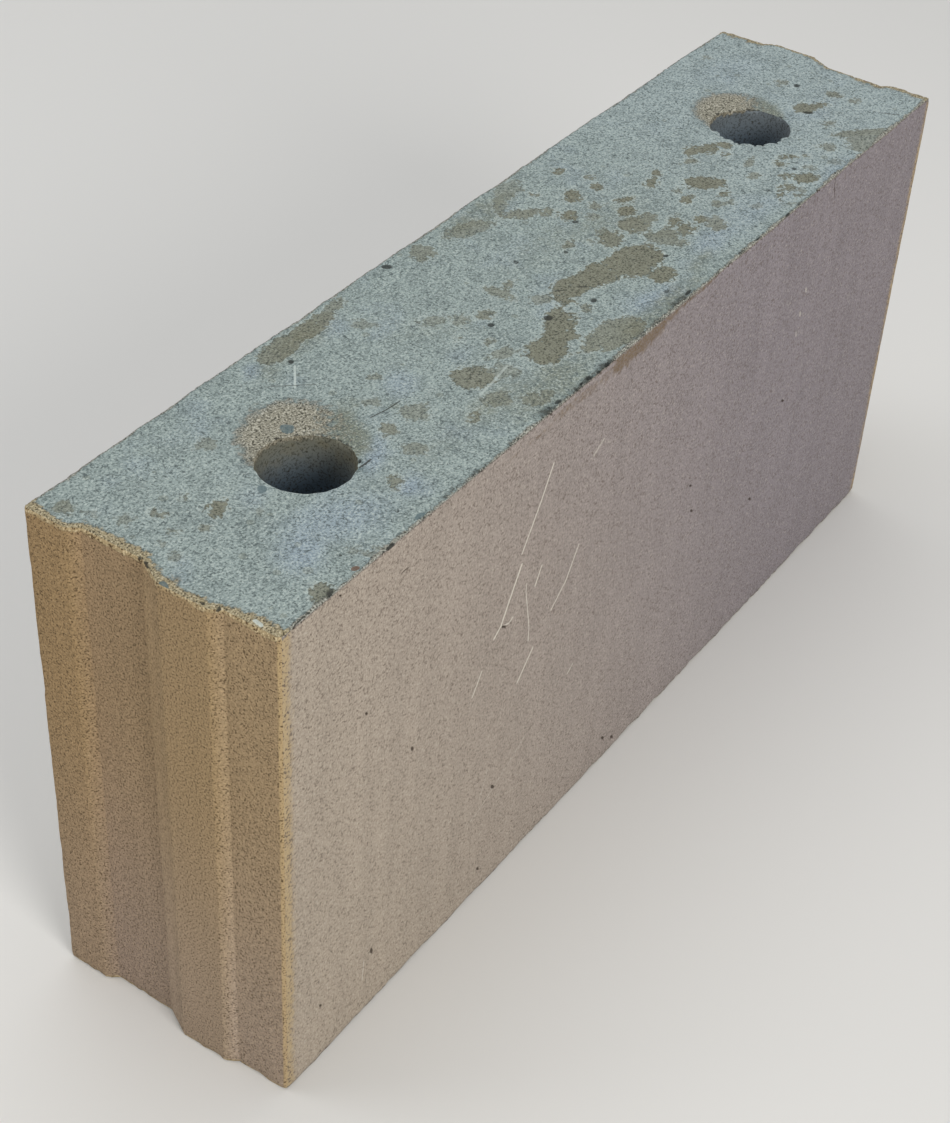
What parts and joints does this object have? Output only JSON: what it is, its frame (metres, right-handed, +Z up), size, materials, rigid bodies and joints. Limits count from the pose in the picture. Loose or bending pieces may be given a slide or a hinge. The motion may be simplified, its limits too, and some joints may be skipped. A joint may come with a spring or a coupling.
{
  "type": "calcium silicate block",
  "caption": "Upright calcium silicate wall block with tongue and groove ends and round grip holes down through it.",
  "frame": {"origin": "middle of the bed face, on the floor", "axes": "+X along the block's length, +Y through its thickness, +Z up; the tongue of the end at -X lies beside the -Y face"},
  "size_m": [0.504, 0.115, 0.238],
  "materials": {
    "calcium_silicate": "matt, fine-grained pressed sand and lime, dusty and damp-spotted on top"
  },
  "bodies": {
    "root": {"block": "calcium_silicate"}
  },
  "joints": []
}
